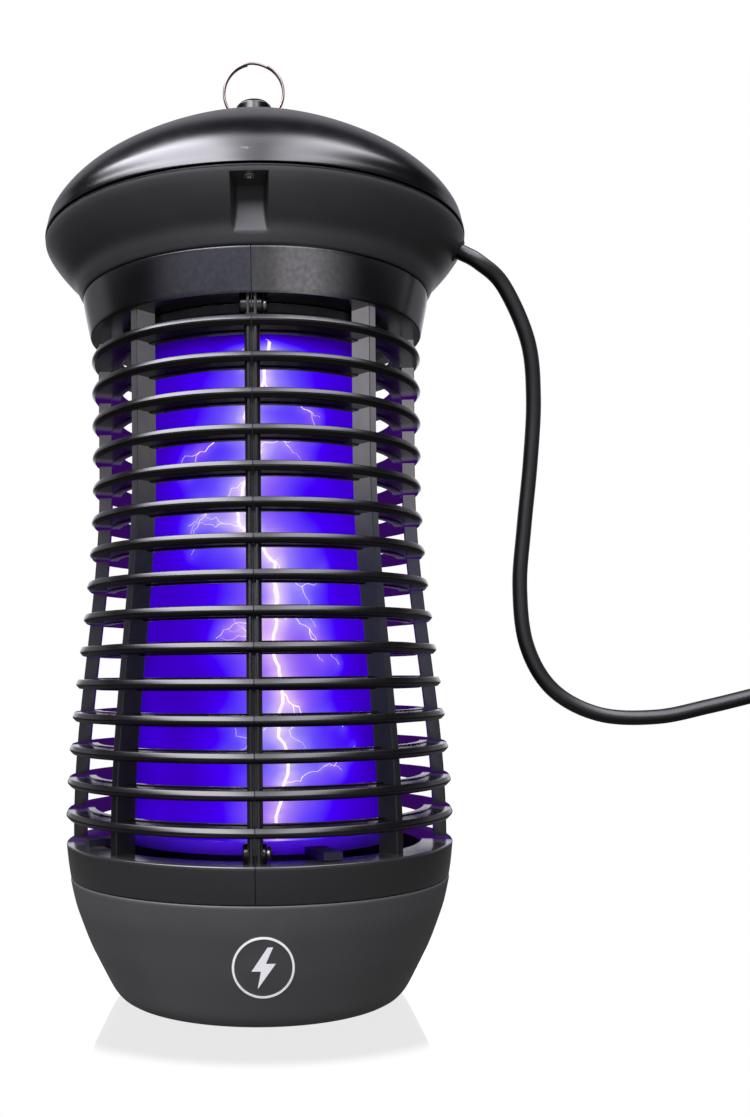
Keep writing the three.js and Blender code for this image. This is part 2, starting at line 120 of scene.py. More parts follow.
FOOT_CENTRE_R = 41
FOOT_HEIGHT = 1.7
DRUM_TOP = {"r": 44, "z": 246.9}
GLOW_TOP_Z = 240  # painted shade: the drum's glow fades out above this, behind the collar
DRUM_BOTTOM = {"r": 48.5, "z": 64.2}
MM_PER_DEGREE = 0.8  # round the unrolled drum


def cage_radius(z):
    """Outer radius of the cage: straight above, swelling towards the tray below."""
    share = min(1, max(0, (FLARE_TOP_Z - z) / FLARE_SPAN))
    return WAIST_R + FLARE_GROWTH * math.sin(math.pi / 2 * share) ** 2


def drum_radius(z):
    """Outer radius of the outer electrode, which widens slightly downwards."""
    share = (DRUM_TOP["z"] - z) / (DRUM_TOP["z"] - DRUM_BOTTOM["z"])
    return DRUM_TOP["r"] + (DRUM_BOTTOM["r"] - DRUM_TOP["r"]) * share


# ---- shape helpers ----


def polar(radius, angle, z):
    turn = math.radians(angle)
    return Vector((radius * math.cos(turn), radius * math.sin(turn), z))


def rotation(angle, axis="Z", size=3):
    return Matrix.Rotation(math.radians(angle), size, axis)


def curve(points, steps=6):
    """A smooth curve through the points, which may have two or three coordinates."""
    points = [Vector(p) for p in points]
    ends = [2 * points[0] - points[1]] + points + [2 * points[-1] - points[-2]]
    smooth = []
    for a, b, c, d in zip(ends, ends[1:], ends[2:], ends[3:]):
        for i in range(steps):
            t = i / steps
            smooth.append(
                0.5 * (2 * b + (c - a) * t + (2 * a - 5 * b + 4 * c - d) * t * t
                       + (3 * b - a - 3 * c + d) * t ** 3)
            )
    return smooth + [points[-1]]


def rounded(points, steps=4):
    """A closed outline; a point with a third value has its corner rounded to about that radius."""
    outline = []
    for i, point in enumerate(points):
        here = Vector(point[:2])
        if len(point) < 3 or isinstance(point, Vector):
            outline.append(here)
            continue
        before = Vector(points[i - 1][:2]) - here
        after = Vector(points[(i + 1) % len(points)][:2]) - here
        reach = point[2] / math.tan(max(0.2, before.angle(after) / 2))
        start = here + before.normalized() * min(reach, before.length * 0.49)
        end = here + after.normalized() * min(reach, after.length * 0.49)
        for k in range(steps + 1):
            t = k / steps
            outline.append(start * (1 - t) ** 2 + here * (2 * t * (1 - t)) + end * t * t)
    return outline


def rectangle(x0, x1, y0, y1, *third):
    """Four corners, each with a third value if one is given."""
    return [(x, y, *third) for x, y in ((x0, y0), (x1, y0), (x1, y1), (x0, y1))]


def radius_at(z, outline):
    """Radius of a rising outline at a height."""
    return float(np.interp(z, [p[1] for p in outline], [p[0] for p in outline]))


def lathe(outline, segments=SEGMENTS):
    """An outline of (radius, height) points turned round Z, as vertices and faces."""
    vertices, faces, rows = [], [], []
    for r, z in outline:
        start = len(vertices)
        if r < 1e-6:
            vertices.append(Vector((0, 0, z)))
            rows.append([start] * segments)
        else:
            vertices += [polar(r, 360 * i / segments, z) for i in range(segments)]
            rows.append(range(start, start + segments))
    for near, far in zip(rows, rows[1:] + rows[:1]):
        for i in range(segments):
            j = (i + 1) % segments
            face = list(dict.fromkeys((near[i], near[j], far[j], far[i])))
            if len(face) > 2:
                faces.append(face)
    return vertices, faces


def loft(sections):
    """Closed outlines of equal length joined in order and closed at both ends."""
    count = len(sections[0])
    vertices = [Vector(p) for section in sections for p in section]
    faces = [list(range(count))[::-1], list(range(len(vertices) - count, len(vertices)))]
    for s in range(len(sections) - 1):
        for i in range(count):
            j = (i + 1) % count
            a, b = s * count, (s + 1) * count
            faces.append([a + i, a + j, b + j, b + i])
    return vertices, faces


def tube(path, radii, sides=20, flat=1.0):
    """A bar along a path of points, with one radius or one per point; flat squashes its section."""
    path = [Vector(p) for p in path]
    if not isinstance(radii, (list, tuple)):
        radii = [radii] * len(path)
    along = (path[1] - path[0]).normalized()
    side = along.orthogonal().normalized()
    if abs(along.z) < 0.9:
        side = along.cross(Vector((0, 0, 1))).normalized()
    sections = []
    for i, point in enumerate(path):
        ahead = path[min(i + 1, len(path) - 1)] - path[max(i - 1, 0)]
        turn = along.rotation_difference(ahead)
        along = ahead.normalized()
        side = (turn @ side).normalized()
        up = along.cross(side)
        angles = [2 * math.pi * k / sides for k in range(sides)]
        sections.append([
            point + (side * math.cos(a) + up * (math.sin(a) * flat)) * radii[i] for a in angles
        ])
    return loft(sections)


def spindle(start, end, outline, sides=32):
    """A turned bar from start to end; the outline has (distance from start, radius) points."""
    start, end = Vector(start), Vector(end)
    axis = (end - start).normalized()
    turn = Vector((0, 0, 1)).rotation_difference(axis)
    vertices, faces = lathe([(radius, distance) for distance, radius in outline], sides)
    return [start + turn @ v for v in vertices], faces


def bar(radius, start, end, sides=32):
    length = (Vector(end) - Vector(start)).length
    return spindle(start, end, [(0, 0), (0, radius), (length, radius), (length, 0)], sides)


def upright(radius, place_r, angle, z0, z1, sides=32):
    """A round bar parallel to the axis."""
    return bar(radius, polar(place_r, angle, z0), polar(place_r, angle, z1), sides)


def hoop(inner, outer, z0, z1, corner):
    """A ring of rectangular section with rounded corners."""
    return lathe(rounded(rectangle(inner, outer, z0, z1, corner)))


def block(x0, x1, y0, y1, z0, z1):
    return loft([rectangle(x0, x1, y0, y1, z) for z in (z0, z1)])


def turned(shell, angle):
    """The same vertices and faces, turned about Z."""
    turn = rotation(angle)
    return [turn @ v for v in shell[0]], shell[1]


def linked(name, data):
    """A new object in the scene."""
    item = bpy.data.objects.new(name, data)
    bpy.context.scene.collection.objects.link(item)
    return item


def solid(name, *shells):
    """One object holding closed shells, its faces pointing outwards."""
    vertices, faces = [], []
    for shell_vertices, shell_faces in shells:
        start = len(vertices)
        vertices += [v * MM for v in shell_vertices]
        faces += [[start + i for i in face] for face in shell_faces]
    mesh = bpy.data.meshes.new(name)
    mesh.from_pydata(vertices, [], faces)
    work = bmesh.new()
    work.from_mesh(mesh)
    bmesh.ops.recalc_face_normals(work, faces=work.faces)
    work.to_mesh(mesh)
    work.free()
    return linked(name, mesh)


def combine(operation, piece, *tools):
    """Joins tools to a piece (UNION), cuts them out (DIFFERENCE) or keeps what is shared."""
    for tool in tools:
        modifier = piece.modifiers.new("combine", "BOOLEAN")
        modifier.operation = operation
        modifier.solver = "MANIFOLD"
        modifier.object = tool
    graph = bpy.context.evaluated_depsgraph_get()
    mesh = bpy.data.meshes.new_from_object(piece.evaluated_get(graph))
    piece.modifiers.clear()
    piece.data = mesh
    for tool in tools:
        bpy.data.objects.remove(tool)
    return piece


def join(piece, *groups):
    """Joins groups of shells to a piece."""
    return combine("UNION", piece, *[solid("joined", *shells) for shells in groups])


def cut(piece, *groups):
    """Cuts groups of shells out of a piece."""
    return combine("DIFFERENCE", piece, *[solid("cutter", *shells) for shells in groups])


def dress(piece, material, slot, *nodes, body="body", crease=32):
    """Gives a piece its shading, material and body, and hides the CAD nodes it stands for; the slot is not
    used.
    """
    piece.data.shade_smooth()
    piece.data.set_sharp_from_angle(angle=math.radians(crease))
    piece.data.materials.clear()
    piece.data.materials.append(material)
    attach(piece, body)
    if nodes:
        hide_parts(*nodes)
    return piece


# ---- material helpers ----


class Nodes:
    """Short ways to add nodes to one node tree. A value may be a number, a colour or a socket.

    Places and radii in materials are in metres.
    """

    def __init__(self, tree):
        self.tree = tree

    def add(self, kind, inputs, **settings):
        node = self.tree.nodes.new("ShaderNode" + kind)
        for name, value in settings.items():
            setattr(node, name, value)
        for name, value in inputs.items():
            if isinstance(value, bpy.types.NodeSocket):
                self.tree.links.new(value, node.inputs[name])
            else:
                node.inputs[name].default_value = value
        return node

    def math(self, operation, *values):
        inputs = dict(enumerate(values))
        return self.add("Math", inputs, operation=operation).outputs[0]

    def product(self, first, *others):
        for other in others:
            first = self.math("MULTIPLY", first, other)
        return first

    def smooth(self, value, start, end, low_value=0.0, high_value=1.0):
        """Goes smoothly from the low value at start to the high value at end."""
        inputs = {0: value, 1: start, 2: end, 3: low_value, 4: high_value}
        node = self.add("MapRange", inputs, interpolation_type="SMOOTHSTEP")
        return node.outputs[0]

    def scale(self, value, low_value, high_value):
        """A 0 to 1 value spread between two others."""
        return self.add("MapRange", {0: value, 3: low_value, 4: high_value}).outputs[0]

    def given(self, kind, output):
        """What Blender knows at the shaded point."""
        return self.add(kind, {}).outputs[output]

    def axes(self, vector):
        return self.add("SeparateXYZ", {0: vector}).outputs

    def place_axes(self):
        return self.axes(self.given("TexCoord", "Object"))

    def radius(self, x, y):
        """Distance from the upright axis."""
        squares = [self.math("POWER", side, 2.0) for side in (x, y)]
        return self.math("SQRT", self.math("ADD", *squares))

    def noise(self, size, detail=3):
        """Cloudy 0 to 1 variation with features about size millimetres across."""
        inputs = {"Vector": self.given("TexCoord", "Object"), "Scale": 1 / (size * MM), "Detail": detail}
        return self.add("TexNoise", inputs).outputs["Fac"]

    def mix(self, share, first, second):
        inputs = {"Factor": share, 6: first, 7: second}
        return self.add("Mix", inputs, data_type="RGBA").outputs[2]

    def ramp(self, value, stops):
        node = self.add("ValToRGB", {0: value})
        elements = node.color_ramp.elements
        while len(elements) < len(stops):
            elements.new(0.5)
        for element, (position, colour) in zip(elements, stops):
            element.position = position
            element.color = (*colour, 1)
        return node.outputs[0]

    def bump(self, height, distance, strength=1.0):
        inputs = {"Height": height, "Distance": distance * MM, "Strength": strength}
        return self.add("Bump", inputs).outputs[0]


def surface(name, **inputs):
    """A new material: it, a Nodes helper for its tree and a way to feed its Principled shader."""
    material = bpy.data.materials.new(name)
    material.use_nodes = True
    shader = material.node_tree.nodes["Principled BSDF"]

    def feed(**values):
        for label, value in values.items():
            socket = shader.inputs[label.replace("_", " ")]
            if isinstance(value, bpy.types.NodeSocket):
                material.node_tree.links.new(value, socket)
            else:
                socket.default_value = value

    feed(**inputs)
    return material, Nodes(material.node_tree), feed


def grey(value):
    return (value, value, value, 1)


# ---- materials ----


def moulded_plastic(name, dark, light, roughness, grain=0.45, depth=0.012, mottle=9):
    """Moulded plastic: cloudy tone, a fine spark-eroded grain and roughness that varies a little."""
    material, nodes, feed = surface(name, IOR=1.5)
    clouds = nodes.noise(mottle, 4)
    fine = nodes.noise(grain, 2)
    feed(
        Base_Color=nodes.mix(clouds, (*dark, 1), (*light, 1)),
        Roughness=nodes.scale(clouds, roughness - 0.04, roughness + 0.05),
        Normal=nodes.bump(fine, depth),
    )
    return material


JET = ((0.0014, 0.0013, 0.0016), (0.0026, 0.0023, 0.003))
FACING = (0.9, 0.98)  # how squarely a face has to look outwards or sideways to take the painted sheen


def cage_plastic(name):
    """The satin black of the cage, with painted light: an emitted sheen on the rib faces in front that
    fades downwards, a mottled painted highlight on the collar's front, and dark violet painted on the faces
    inside the far half for the drum's light."""
    material, nodes, feed = surface(name, IOR=1.5)
    smooth, product = nodes.smooth, nodes.product
    clouds = nodes.noise(9, 4)
    x, y, z = nodes.place_axes()
    radius = nodes.radius(x, y)

    def outward_part(along_x, along_y):
        """How much of a direction points away from the axis, from -1 to 1."""
        return nodes.math("DIVIDE", nodes.math("ADD", product(x, along_x), product(y, along_y)), radius)

    facing_x, facing_y, upwards = nodes.axes(nodes.given("TexCoord", "Normal"))
    seen_x, seen_y, _ = nodes.axes(nodes.given("NewGeometry", "Incoming"))
    outwards = outward_part(facing_x, facing_y)
    sideways = nodes.math("ABSOLUTE", outward_part(facing_y, product(facing_x, -1.0)))
    beyond = outward_part(seen_x, seen_y)  # 1 at the front of the cage as it is seen, -1 at its back

    # Painted sheen on the rib faces in front: emission that fades downwards and is dimmer on the left half.
    flank = smooth(sideways, *FACING)
    ring_radius = smooth(z, 0.06, 0.2, 0.074, 0.063)
    set_back = smooth(nodes.math("SUBTRACT", ring_radius, radius), 0.0014, 0.0018)
    above_band = smooth(z, 0.058, 0.061, 0.0, 0.7)
    edge = product(smooth(outwards, *FACING), set_back, above_band)
    off_seam = smooth(nodes.math("ABSOLUTE", x), 0.006, 0.009, 0.12, 1.0)
    height = product(smooth(z, 0.15, 0.228, 0.035, 0.225), smooth(z, 0.06, 0.15, 0.3, 1.0))
    half = smooth(x, -0.004, 0.004, 0.45, 1.0)
    cloudy = nodes.scale(clouds, 0.75, 1.2)
    ribs = product(nodes.math("MAXIMUM", flank, edge), off_seam, height, half, cloudy)

    # Painted highlight on the collar's front: mottled emission, brighter just right of the seam.
    collar = product(smooth(radius, 0.0618, 0.0625), smooth(y, -0.04, -0.055), smooth(z, 0.2415, 0.2425))
    right = product(smooth(x, 0.004, 0.014), smooth(x, 0.035, 0.018))
    brighter = nodes.math("MULTIPLY_ADD", right, 2.0, 1.0)
    collar_highlight = product(collar, smooth(x, -0.04, -0.015, 0.0, 0.045), brighter, smooth(x, 0.04, 0.02))
    mottled = nodes.scale(nodes.noise(1.6, 6), 0.35, 1.65)
    painted_sheen = nodes.math("ADD", ribs, product(collar_highlight, mottled))
    # The painted light turns bluish on the cage's lower middle and on the collar's left.
    slate = nodes.math(
        "MAXIMUM",
        product(smooth(z, 0.2, 0.15), smooth(z, 0.06, 0.09)),
        product(collar, smooth(x, 0.004, -0.002, 0.0, 0.7)),
    )
    tint = nodes.mix(slate, (0.97, 0.93, 1.0, 1), (0.55, 0.58, 1.0, 1))

    # Painted drum light: the faces inside the far half of the cage, as it is seen, glow dark violet below
    # the collar and lose their gloss.
    level = smooth(nodes.math("ABSOLUTE", upwards), 0.6, 0.8)
    inside = product(smooth(outwards, -0.2, -0.5), smooth(beyond, 0.6, 0.45))
    inside = nodes.math("MAXIMUM", inside, product(level, smooth(beyond, 0.2, 0.0)))
    inside = nodes.math("MAXIMUM", inside, product(flank, smooth(beyond, -0.15, -0.3)))
    inside = product(inside, smooth(z, 0.239, 0.236))

    plain = nodes.mix(clouds, (*JET[0], 1), (*JET[1], 1))
    feed(
        Base_Color=nodes.mix(smooth(z, 0.0605, 0.0595), plain, grey(0.014)),
        Roughness=nodes.scale(clouds, 0.2, 0.27),
        Specular_IOR_Level=nodes.scale(inside, 0.5, 0.0),
        Normal=nodes.bump(nodes.noise(0.45, 2), 0.008),
        Emission_Color=nodes.mix(inside, tint, (0.3, 0.03, 0.95, 1)),
        Emission_Strength=nodes.scale(inside, painted_sheen, 0.1),
    )
    return material


def bright_metal(name, colour, roughness, scratch=1.2, depth=0.01):
    """Plated metal with faint streaks and a cloudy sheen."""
    material, nodes, feed = surface(name, Metallic=1.0)
    clouds = nodes.noise(scratch * 3, 4)
    streaks = nodes.noise(scratch, 6)
    darker = tuple(c * 0.7 for c in colour)
    feed(
        Base_Color=nodes.mix(clouds, (*darker, 1), (*colour, 1)),
        Roughness=nodes.scale(streaks, roughness, roughness + 0.16),
        Normal=nodes.bump(streaks, depth),
    )
    return material


def speckled(name, first, second, roughness, size=1.5, metallic=0.0):
    """Ceramic, ferrite, board or sleeve: two near tones in a fine speckle."""
    material, nodes, feed = surface(name, Metallic=metallic)
    spots = nodes.noise(size, 5)
    feed(
        Base_Color=nodes.mix(spots, (*first, 1), (*second, 1)),
        Roughness=nodes.scale(spots, roughness - 0.05, roughness + 0.08),
        Normal=nodes.bump(spots, 0.02),
    )
    return material


WEAVE_PITCH = 0.9


def glowing_drum(name):
    """The electrode drum's painted light: violet emission for the lamp's light through the mesh, brightest
    along the discharges, behind a fine weave.
    """
    material, nodes, feed = surface(name, Base_Color=grey(0.0), Specular_IOR_Level=0.0)
    glow = nodes.add("Attribute", {}, attribute_name="glow").outputs["Fac"]
    clouds = nodes.noise(26, 2)
    drift = nodes.product(nodes.math("SUBTRACT", clouds, 0.5), 0.16)
    level = nodes.math("ADD", glow, drift)
    violet = nodes.ramp(level, [
        (0.06, (0.022, 0.0, 0.22)),
        (0.2, (0.045, 0.0, 0.55)),
        (0.32, (0.058, 0.0, 0.98)),
        (0.48, (0.13, 0.07, 1.0)),
        (0.66, (0.3, 0.22, 1.0)),
        (0.82, (0.66, 0.5, 1.0)),
        (0.97, (1.0, 0.92, 1.0)),
    ])
    blush = nodes.smooth(nodes.noise(38, 1), 0.48, 0.62)
    near = nodes.smooth(level, 0.3, 0.6)
    pink = nodes.mix(nodes.smooth(level, 0.5, 0.95), (0.34, 0.1, 0.92, 1), (0.95, 0.55, 1.0, 1))
    colour = nodes.mix(nodes.product(blush, near, 0.55), violet, pink)
    height = nodes.place_axes()[2]
    weave = nodes.math("SINE", nodes.product(height, 2 * math.pi / (WEAVE_PITCH * MM)))
    shade = nodes.scale(nodes.math("MULTIPLY_ADD", weave, 0.5, 0.5), 0.93, 1.0)
    # Painted shade: the glow dims towards the drum's edges as it is seen.
    facing = nodes.add("LayerWeight", {"Blend": 0.5}).outputs["Facing"]
    painted_limb_shade = nodes.smooth(facing, 0.35, 1.0, 1.0, 0.45)
    feed(Emission_Color=colour, Emission_Strength=nodes.product(shade, painted_limb_shade))
    return material


def glowing(name, size, faint, bright, strength, roughness=0.5):
    """A hot or lit thing, in two near tones."""
    material, nodes, feed = surface(name, Base_Color=grey(0.8), Roughness=roughness)
    feed(Emission_Color=nodes.mix(nodes.noise(size, 2), faint, bright), Emission_Strength=strength)
    return material


def lit_insulator(name):
    """The lower insulator: its rim carries painted violet light, emission as if lit by the drum above it;
    its arms stay nearly dark.
    """
    material, nodes, feed = surface(name, Base_Color=grey(0.004), Roughness=0.6)
    x, y, z = nodes.axes(nodes.given("NewGeometry", "Position"))
    rim = nodes.smooth(nodes.radius(x, y), 0.0515, 0.0525, 1.0, 0.06)
    middle = nodes.smooth(nodes.math("ABSOLUTE", x), 0.01, 0.045, 1.0, 0.35)
    height = nodes.smooth(z, 0.058, 0.065, 0.25, 0.9)
    painted_glow_colour = nodes.mix(nodes.noise(14, 3), (0.05, 0.0, 0.55, 1), (0.07, 0.0, 0.85, 1))
    feed(Emission_Color=painted_glow_colour, Emission_Strength=nodes.product(rim, middle, height))
    return material


GLOSS_BLACK = moulded_plastic("gloss_black", *JET, 0.2)
HOUSING_BLACK = moulded_plastic("housing_black", (0.034, 0.033, 0.035), (0.045, 0.043, 0.047), 0.42)
CAGE_BLACK = cage_plastic("cage_black")
CHARCOAL = moulded_plastic(
    "matte_charcoal", (0.034, 0.034, 0.034), (0.041, 0.041, 0.041), 0.5, grain=0.35, depth=0.03
)
RUBBER = moulded_plastic("black_rubber", (0.004, 0.004, 0.0045), (0.007, 0.007, 0.0075), 0.5, depth=0.03)
CORD_VINYL = moulded_plastic(
    "cord_vinyl", (0.0016, 0.0016, 0.0018), (0.0026, 0.0026, 0.003), 0.36, depth=0.003, mottle=12
)
NICKEL = bright_metal("nickel", (0.62, 0.58, 0.52), 0.2)
DARK_NICKEL = bright_metal("dark_nickel", (0.2, 0.165, 0.15), 0.2, scratch=6, depth=0.0005)
STEEL = bright_metal("steel", (0.6, 0.6, 0.62), 0.3)
INSULATOR = moulded_plastic("insulator", (0.02, 0.02, 0.026), (0.032, 0.032, 0.04), 0.45)
CERAMIC = speckled("ceramic", (0.72, 0.7, 0.64), (0.82, 0.8, 0.74), 0.4)
BOARD = speckled("board", (0.01, 0.14, 0.045), (0.016, 0.19, 0.06), 0.4, size=2.5)
FERRITE = speckled("ferrite", (0.03, 0.03, 0.032), (0.055, 0.055, 0.058), 0.7, size=0.8)
COPPER = speckled("copper", (0.45, 0.17, 0.06), (0.62, 0.26, 0.1), 0.3, size=0.9, metallic=0.9)
FILM = speckled("capacitor_film", (0.3, 0.03, 0.02), (0.4, 0.05, 0.03), 0.35)
SLEEVE = speckled("capacitor_sleeve", (0.02, 0.05, 0.18), (0.03, 0.07, 0.24), 0.3)
WIRE = speckled("wire_pvc", (0.55, 0.52, 0.46), (0.66, 0.63, 0.57), 0.4)
DRUM = glowing_drum("electrode_glow")
ARC = glowing("discharge_light", 12, (0.8, 0.62, 1.0, 1), (1.0, 0.95, 1.0, 1), 1.1)
LAMP = glowing("lamp_glass", 20, (0.45, 0.3, 1.0, 1), (0.75, 0.6, 1.0, 1), 1.5, 0.15)
LIT_INSULATOR = lit_insulator("insulator_lit")
PRINT = speckled("pale_print", (0.72, 0.72, 0.73), (0.8, 0.8, 0.81), 0.45)


# ---- cage ----


def cage_ring(z):
    """One guard ring: a tall band inside and a blade outside whose faces slope to a blunt nose."""
    outer = cage_radius(z)
    inner = outer - RING_DEPTH
    step = inner + 3.4
    return lathe(rounded([
        (inner, z - 2.3, 0.5), (step, z - 2.3, 0.6), (step + 0.5, z - 1.8, 0.4),
        (outer - 1.2, z - 1.75, 0.5), (outer, z - 0.4, 0.5), (outer, z + 0.2, 0.4),
        (outer - 0.75, z + 1.75, 0.5), (step + 0.5, z + 1.85, 0.4), (step, z + 2.3, 0.6),
        (inner, z + 2.3, 0.5),
    ], 3))


def rib(angle, section):
    """An upright rib that follows the cage's swell; the section has (sideways, depth, rounding)."""
    turn = rotation(angle)
    sections = []
    for k in range(41):
        z = RIB_BASE_Z + k * (RIB_TOP_Z - RIB_BASE_Z) / 40
        edge = cage_radius(z) - RIB_SETBACK
        outline = rounded([(side, depth, r) for side, depth, r in section], 3)
        sections.append([turn @ Vector((edge - depth, side, z)) for side, depth in outline])
    return loft(sections)


def plain_rib(angle, depth=RIB_DEPTH):
    half = RIB_THICK / 2
    return rib(angle, [(-half, 0, 0.55), (half, 0, 0.55), (half, depth, 0.4), (-half, depth, 0.4)])


def seam_rib(angle):
    """The doubled rib where the cage's halves meet: two thin lips with a groove between them."""
    lip, groove, flank = 1.75, 0.75, 2.6
    return rib(angle, [
        (-flank, 2.4, 0.3), (-lip, 2.0, 0.2), (-lip, 0, 0.25), (-groove, 0, 0.25), (-groove, 2.2, 0.1),
        (groove, 2.2, 0.1), (groove, 0, 0.25), (lip, 0, 0.25), (lip, 2.0, 0.2), (flank, 2.4, 0.3),
        (flank, RIB_DEPTH, 0.4), (-flank, RIB_DEPTH, 0.4),
    ])


def seam_tongues(spare):
    """Where the right half laps into the left one, inside the two seam ribs, so that no light leaks."""
    tongues = []
    for angle, way in ((90, -1), (270, 1)):
        sides = sorted((way * (-1.3 - spare), way * 0.4))
        tongues.append(rib(angle, rectangle(*sides, 3.4 - spare, 5.2 + spare, 0.1)))
    return tongues


def collar():
    """The ring under the head, with a beaded upper edge and a lip that grips the housing's neck."""
    top = COLLAR_TOP_Z
    outside = curve([(63.5, top - 14.2), (64.5, top - 9.2), (65.4, top - 4.4), (65.9, top - 1.3)], 5)
    return lathe(rounded([
        (50, top - 14.7, 0.3), (63.2, top - 14.7, 0.5), *outside, (66, top, 0.7), (63.4, top, 0.3),
        (62.8, top - 3.8), (60.7, top - 3.8), (60.7, top - 6), (62.6, top - 6), (62.6, top - 9.6),
        (61, top - 12.2), (50, top - 12.2, 0.3),
    ]))


def band():
    """The smooth band at the bottom of the cage, with a shelf that carries the electrodes."""
    base = BAND_BASE_Z
    outside = curve([(72.4, base + 0.5), (73.0, base + 4.5), (73.5, base + 9), (73.8, base + 12.3)], 4)
    return lathe(rounded([
        (71.3, base, 0.3), (72.3, base, 0.4), *outside, (73.5, base + 12.9, 0.8), (62, base + 12.9, 0.4),
        (62, base + 10.9), (71.3, base + 10.9),
    ]))


def thread_block(inner_r, outer_r, middle, span, base, height):
    """Part of a ring whose top and underside rise evenly with the angle, like a screw thread."""
    sections = []
    for k in range(13):
        angle = span * (k / 12 - 0.5)
        z = base + LUG_PITCH * angle
        corners = rectangle(inner_r, outer_r, z, z + height)
        sections.append([polar(r, middle + angle, h) for r, h in corners])
    return loft(sections)


def build_cage():
    rings = [cage_ring(LOWEST_RING_Z + i * RING_PITCH) for i in range(RING_COUNT)]
    ribs = [plain_rib(angle, SIDE_RIB_DEPTH) for angle in (0, 180)]
    for seam in (90, 270):
        ribs += [seam_rib(seam), plain_rib(seam - CORNER_RIB_OFFSET), plain_rib(seam + CORNER_RIB_OFFSET)]
    ledges = [
        thread_block(NECK_R + 0.7, 71.9, angle, 36, LEDGE_TOP_Z - 1.8, 1.8) for angle in LEDGE_ANGLES
    ]
    bosses = [
        spindle((-4.2, y, z), (3.8, y, z), [(0, 0), (0, 3.0), (0.5, 3.4), (7.5, 3.4), (8, 3.0), (8, 0)])
        for y, z in CAGE_SCREWS.values()
    ]
    holes = [bar(PILOT_R, (-3.6, y, z), (6, y, z), 16) for y, z in CAGE_SCREWS.values()]
    cage = join(solid("cage", *rings), ribs, [collar()], [band()], ledges, bosses)
    cut(cage, holes)
    far = 100
    regions = {
        "right": join(solid("side", block(SEAM_GAP / 2, far, -far, far, 0, 3 * far)), seam_tongues(0)),
        "left": cut(solid("side", block(-far, -SEAM_GAP / 2, -far, far, 0, 3 * far)), seam_tongues(0.1)),
    }
    for side, region in regions.items():
        half = linked(f"cage_{side}_moulding", cage.data.copy())
        combine("INTERSECT", half, region)
        dress(half, CAGE_BLACK, "gloss_black", f"cage_{side}")
    bpy.data.objects.remove(cage)


# ---- head ----

BOARD_POST_R = 43
BOARD_Z = 275.7  # underside of the circuit board, on the housing's posts
HOUSING_OUTSIDE = [
    (66.1, 0), (67.5, 2.4), (69.4, 6), (72.7, 9.5), (75.7, 12.9), (78.3, 16.4), (79.6, 18.7), (80, 20.1),
]


def housing_outside():
    return curve([(r, HOUSING_BASE_Z + z) for r, z in HOUSING_OUTSIDE], 6)


def channel_cutter(angle):
    """The finger recess under a cover screw: a slot with slanting sides and rounded inner corners."""
    turn = rotation(angle)
    sections = []
    levels = 18
    for k in range(levels + 1):
        z = HOUSING_BASE_Z - 1.5 + (CHANNEL_CEILING_Z - HOUSING_BASE_Z + 1.5) * k / levels
        depth = (CHANNEL_CEILING_Z - z) / 18
        back = 67.3 + 0.5 * depth ** 2
        half_back = 4.8 + 0.8 * depth ** 2
        half_front = 6.3
        skin = max(back + 0.8, radius_at(z, housing_outside()))
        outline = rounded([
            (back, -half_back, 1.3), (skin - 0.4, -half_front, 0.3), (skin + 0.8, -half_front - 0.9),
            (95, -half_front - 0.9), (95, half_front + 0.9), (skin + 0.8, half_front + 0.9),
            (skin - 0.4, half_front, 0.3), (back, half_back, 1.3),
        ], 5)
        sections.append([turn @ Vector((out, side, z)) for out, side in outline])
    return loft(sections)


def cord_point(distance):
    """A point on the line along which the cord leaves, measured from the housing's surface."""
    droop = math.radians(CORD_EXIT["droop"])
    outwards = CORD_EXIT["radius"] + distance * math.cos(droop)
    return polar(outwards, CORD_EXIT["angle"], CORD_EXIT["z"] - distance * math.sin(droop))


def cord_exit(end):
    """The hole that the cord's strain relief goes through."""
    return [bar(RELIEF_R + 0.3, cord_point(-14), cord_point(end))]


def build_housing():
    """The lower half of the head: a flared bowl with a neck, three recesses and board posts."""
    top, base = HOUSING_TOP_Z, HOUSING_BASE_Z
    outside = housing_outside()[:-1]
    inside = curve([
        (77.3, top - 1.6), (75.6, top - 4.2), (73, top - 7.4), (70, top - 10.6), (67.2, top - 13.8),
        (66, base + 5),
    ], 4)
    shell = lathe(rounded([
        (0, base + 2.5), (58, base + 2.5), (58, base - 9.1), (62.2, base - 9.1), (62.2, base - 6.7),
        (60.3, base - 6.7), (60.3, base), (65.9, base, 0.3), *outside[1:], (80, top, 0.5), (77.5, top, 0.3),
        *inside, (0, base + 5),
    ]))
    housing = solid("head_housing_moulding", shell)
    filled = lathe([(0, base), *outside, (80, top - 0.3), (79.5, top), (0, top)])
    for angle in CHANNEL_ANGLES.values():
        walls = solid("walls", turned(block(65.4, 79, -9, 9, base + 2, top), angle))
        combine("INTERSECT", walls, solid("filled", filled))
        combine("UNION", housing, walls)
    recesses = [channel_cutter(angle) for angle in CHANNEL_ANGLES.values()]
    holes = [upright(PILOT_R, COVER_SCREW_R, angle, 280, 290, 16) for angle in CHANNEL_ANGLES.values()]
    cut(housing, recesses, holes)
    posts = [upright(4, BOARD_POST_R, angle, base + 3.5, BOARD_Z) for angle in QUARTERS]
    pilots = [upright(1.6, BOARD_POST_R, angle, 270.8, 280) for angle in QUARTERS]
    join(housing, posts)
    cut(housing, pilots, cord_exit(14))
    dress(housing, HOUSING_BLACK, "gloss_black", "head_housing")


COVER_OUTSIDE = [
    (79.6, 2.4), (78.0, 7.5), (73.4, 14), (66, 20.9), (56, 27.6), (44.6, 33.9), (32.6, 39.5), (21, 43.3),
    (10, 44.5),
]
COVER_INSIDE = [
    (10, 41.8), (31.4, 37), (43.2, 31.6), (54.4, 25.4), (64.2, 18.8), (71.4, 12.2), (75.6, 6.4),
]


